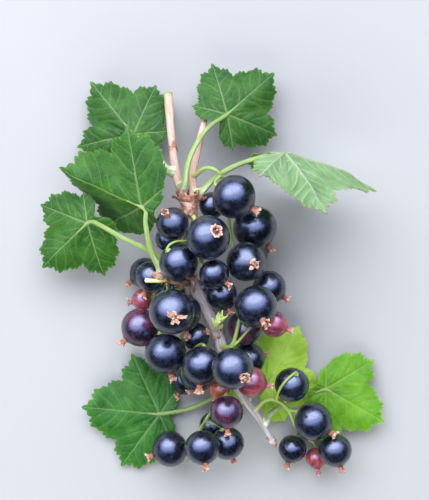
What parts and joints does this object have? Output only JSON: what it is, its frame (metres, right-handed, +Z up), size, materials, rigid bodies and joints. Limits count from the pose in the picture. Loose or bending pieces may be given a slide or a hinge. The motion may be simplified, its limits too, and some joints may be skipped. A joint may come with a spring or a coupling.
{
  "type": "blackcurrant sprig",
  "caption": "Fruiting twig of a currant bush, laid down as picked, with glossy dark berries on green strigs, lobed leaves and a woody stem.",
  "frame": {"origin": "on the surface that the sprig lies on, in the middle of the flat spot under the low berry in the middle", "axes": "+X to the right, +Y along the sprig towards the cut end of its twig, +Z up from the surface towards the viewer"},
  "size_m": [0.1112, 0.1329, 0.0439],
  "materials": {
    "ripe_berry": "waxy, near black skin with a thin blue bloom",
    "purple_berry": "waxy, dark purple skin",
    "red_berry": "glossy, red skin that is not ripe",
    "orange_berry": "glossy, orange skin that is not ripe",
    "bark": "thin bark with lenticels and flaking scales",
    "strig": "smooth green stalk",
    "leaf": "soft leaf with raised veins",
    "young_shoot": "downy pale green bud"
  },
  "bodies": {
    "root": {"berry_beside_stem": "ripe_berry", "berry_beside_strig": "ripe_berry", "berry_big_star": "ripe_berry", "berry_bottom_front": "ripe_berry", "berry_bottom_left": "ripe_berry", "berry_bottom_right": "ripe_berry", "berry_centre_right": "ripe_berry", "berry_corner_first": "ripe_berry", "berry_corner_low": "ripe_berry", "berry_corner_red": "red_berry", "berry_corner_second": "ripe_berry", "berry_corner_third": "ripe_berry", "berry_hanging_purple": "purple_berry", "berry_left_back": "ripe_berry", "berry_left_deep": "ripe_berry", "berry_left_front": "ripe_berry", "berry_left_purple": "purple_berry", "berry_left_red": "red_berry", "berry_low_orange": "orange_berry", "berry_low_red": "red_berry", "berry_lower_back": "ripe_berry", "berry_lower_deep": "ripe_berry", "berry_lower_front": "ripe_berry", "berry_lower_left": "ripe_berry", "berry_lower_middle": "ripe_berry", "berry_lower_right": "ripe_berry", "berry_middle_deep": "ripe_berry", "berry_middle_left": "ripe_berry", "berry_middle_small": "ripe_berry", "berry_right_edge": "ripe_berry", "berry_right_front": "ripe_berry", "berry_right_purple": "purple_berry", "berry_right_red": "red_berry", "berry_under_bottom": "ripe_berry", "berry_under_left": "ripe_berry", "berry_under_middle": "ripe_berry", "berry_under_right": "ripe_berry", "berry_upper_back": "ripe_berry", "berry_upper_front": "ripe_berry", "berry_upper_left": "ripe_berry", "berry_upper_middle": "ripe_berry", "berry_upper_right": "ripe_berry", "leaf_behind_right": "leaf", "leaf_left": "leaf", "leaf_lower_left": "leaf", "leaf_lower_right": "leaf", "leaf_top_left": "leaf", "leaf_top_right": "leaf", "leaf_upper_left": "leaf", "leaf_upper_right": "leaf", "shoot_bud": "young_shoot", "stem": "bark", "strig_centre": "strig", "strig_corner": "strig", "strig_left": "strig", "strig_lower_left": "strig", "strig_right": "strig", "strig_tip": "strig", "strig_top_right": "strig"}
  },
  "joints": []
}
